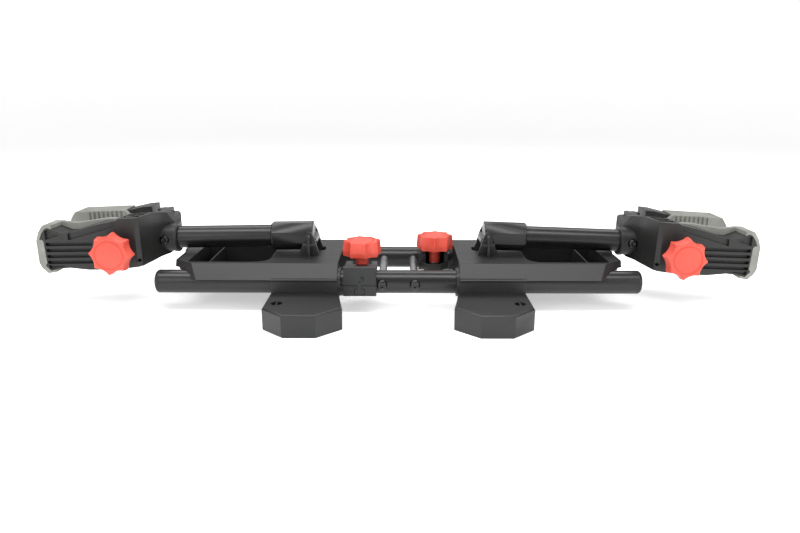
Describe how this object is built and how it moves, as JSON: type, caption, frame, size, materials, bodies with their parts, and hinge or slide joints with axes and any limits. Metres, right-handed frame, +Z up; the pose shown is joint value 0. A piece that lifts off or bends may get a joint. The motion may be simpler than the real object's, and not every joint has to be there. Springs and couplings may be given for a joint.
{
  "type": "bike rack carrier head",
  "caption": "Folded carrier head of a hitch bike rack: sliding moulded bases with feet on cross tubes, red lock knobs and fold-down arms with frame-clamping jaws.",
  "frame": {"origin": "on the ground under the middle of the frame, centre of the bounding box's base", "axes": "+X right along the cross tubes, +Y to the back, +Z up"},
  "size_m": [0.9207, 0.34, 0.1221],
  "materials": {
    "tube": "satin black powder coat",
    "base": "fine-grained black moulded nylon",
    "foot": "fine-grained black moulded nylon",
    "clamp": "fine-grained black moulded nylon",
    "sleeve": "satin black moulded nylon",
    "jaw": "matt black moulded nylon",
    "pad": "light grey soft rubber",
    "knob": "satin coral red plastic",
    "cap": "black plastic plug",
    "screw": "black oxide steel",
    "steel": "zinc plated steel",
    "bush": "bearing steel"
  },
  "bodies": {
    "frame": {"front_tube": "tube", "rear_tube": "tube", "tube_caps": "cap", "cross_spacers": "steel", "cross_bolts": "screw", "cross_nuts": "steel"},
    "left_carriage": {"left_base": "base", "left_front_foot": "foot", "left_rear_foot": "foot", "left_foot_screws": "screw", "left_clamp_lower": "clamp", "left_lock_nut": "steel", "left_pivot_bolt": "screw", "left_pivot_washers": "steel"},
    "left_clamp_half": {"left_clamp_upper": "clamp"},
    "left_lock_riser": {"left_lock_washer": "steel"},
    "left_lock": {"left_lock_knob": "knob", "left_lock_stud": "steel"},
    "left_arm": {"left_arm_sleeve": "sleeve", "left_arm_tube": "tube", "left_arm_rivets": "screw", "left_pivot_bush": "bush", "left_jaw_body": "jaw", "left_fixed_pad": "pad", "left_jaw_pin": "steel", "left_collar_screw": "screw"},
    "left_jaw_screw": {"left_jaw_knob": "knob", "left_jaw_bolt": "steel", "left_jaw_washer": "steel"},
    "left_rear_jaw": {"left_moving_jaw": "jaw", "left_moving_pad": "pad"},
    "left_jaw_nut": {"left_barrel_nut": "steel"},
    "right_carriage": {"right_base": "base", "right_front_foot": "foot", "right_rear_foot": "foot", "right_foot_screws": "screw", "right_clamp_lower": "clamp", "right_lock_nut": "steel", "right_pivot_bolt": "screw", "right_pivot_washers": "steel"},
    "right_clamp_half": {"right_clamp_upper": "clamp"},
    "right_lock_riser": {"right_lock_washer": "steel"},
    "right_lock": {"right_lock_knob": "knob", "right_lock_stud": "steel"},
    "right_arm": {"right_arm_sleeve": "sleeve", "right_arm_tube": "tube", "right_arm_rivets": "screw", "right_pivot_bush": "bush", "right_jaw_body": "jaw", "right_fixed_pad": "pad", "right_jaw_pin": "steel", "right_collar_screw": "screw"},
    "right_jaw_screw": {"right_jaw_knob": "knob", "right_jaw_bolt": "steel", "right_jaw_washer": "steel"},
    "right_rear_jaw": {"right_moving_jaw": "jaw", "right_moving_pad": "pad"},
    "right_jaw_nut": {"right_barrel_nut": "steel"}
  },
  "joints": [
    {"name": "left_slide", "type": "slide", "parent": "frame", "child": "left_carriage", "axis": [-1, 0, 0], "range_m": [0, 0.1]},
    {"name": "left_fold", "type": "hinge", "parent": "left_carriage", "child": "left_arm", "pos_m": [-0.119, 0, 0.0795], "axis": [0, 1, 0], "range_deg": [0, 90]},
    {"name": "left_lock_rise", "type": "slide", "parent": "left_carriage", "child": "left_lock_riser", "axis": [0, 0, 1], "range_m": [-0.00505, 0.0013]},
    {"name": "left_lock_turn", "type": "hinge", "parent": "left_lock_riser", "child": "left_lock", "pos_m": [-0.0485, -0.034, 0.0385], "axis": [0, 0, 1], "range_deg": [-1440, 360]},
    {"name": "left_clamp_tilt", "type": "hinge", "parent": "left_carriage", "child": "left_clamp_half", "pos_m": [-0.0495, -0.0825, 0.0325], "axis": [1, 0, 0], "range_deg": [0, 4]},
    {"name": "left_jaw_turn", "type": "hinge", "parent": "left_arm", "child": "left_jaw_screw", "pos_m": [-0.35507, -0.07, 0.08159], "axis": [0, 1, 0], "range_deg": [0, 2484]},
    {"name": "left_jaw_swing", "type": "hinge", "parent": "left_arm", "child": "left_rear_jaw", "pos_m": [-0.32707, 0.045, 0.08205], "axis": [-0.0166, 0, 0.9999], "range_deg": [0, 17.75]},
    {"name": "left_nut_travel", "type": "slide", "parent": "left_arm", "child": "left_jaw_nut", "axis": [0, -1, 0], "range_m": [0, 0.00868]},
    {"name": "right_slide", "type": "slide", "parent": "frame", "child": "right_carriage", "axis": [1, 0, 0], "range_m": [0, 0.1]},
    {"name": "right_fold", "type": "hinge", "parent": "right_carriage", "child": "right_arm", "pos_m": [0.119, 0, 0.0795], "axis": [0, -1, 0], "range_deg": [0, 90]},
    {"name": "right_lock_rise", "type": "slide", "parent": "right_carriage", "child": "right_lock_riser", "axis": [0, 0, 1], "range_m": [-0.00005, 0.0038]},
    {"name": "right_lock_turn", "type": "hinge", "parent": "right_lock_riser", "child": "right_lock", "pos_m": [0.051, 0.034, 0.0385], "axis": [0, 0, 1], "range_deg": [0, 1080]},
    {"name": "right_clamp_tilt", "type": "hinge", "parent": "right_carriage", "child": "right_clamp_half", "pos_m": [0.0495, 0.0825, 0.0325], "axis": [-1, 0, 0], "range_deg": [0, 2.85]},
    {"name": "right_jaw_turn", "type": "hinge", "parent": "right_arm", "child": "right_jaw_screw", "pos_m": [0.35507, -0.07, 0.07726], "axis": [0, 1, 0], "range_deg": [0, 2484]},
    {"name": "right_jaw_swing", "type": "hinge", "parent": "right_arm", "child": "right_rear_jaw", "pos_m": [0.32708, 0.045, 0.07824], "axis": [-0.0349, 0, -0.9994], "range_deg": [0, 17.75]},
    {"name": "right_nut_travel", "type": "slide", "parent": "right_arm", "child": "right_jaw_nut", "axis": [0, -1, 0], "range_m": [0, 0.00868]}
  ],
  "couplings": [
    {"joint": "left_lock_rise", "follows": "left_lock_turn", "m_per_rad": 0.00019894},
    {"joint": "left_jaw_swing", "follows": "left_jaw_turn", "ratio": 0.0071051},
    {"joint": "left_nut_travel", "follows": "left_jaw_turn", "m_per_rad": 0.00019894},
    {"joint": "right_lock_rise", "follows": "right_lock_turn", "m_per_rad": 0.00019894},
    {"joint": "right_clamp_tilt", "follows": "right_lock_turn", "ratio": 0.0025926},
    {"joint": "right_jaw_swing", "follows": "right_jaw_turn", "ratio": 0.0071051},
    {"joint": "right_nut_travel", "follows": "right_jaw_turn", "m_per_rad": 0.00019894}
  ]
}
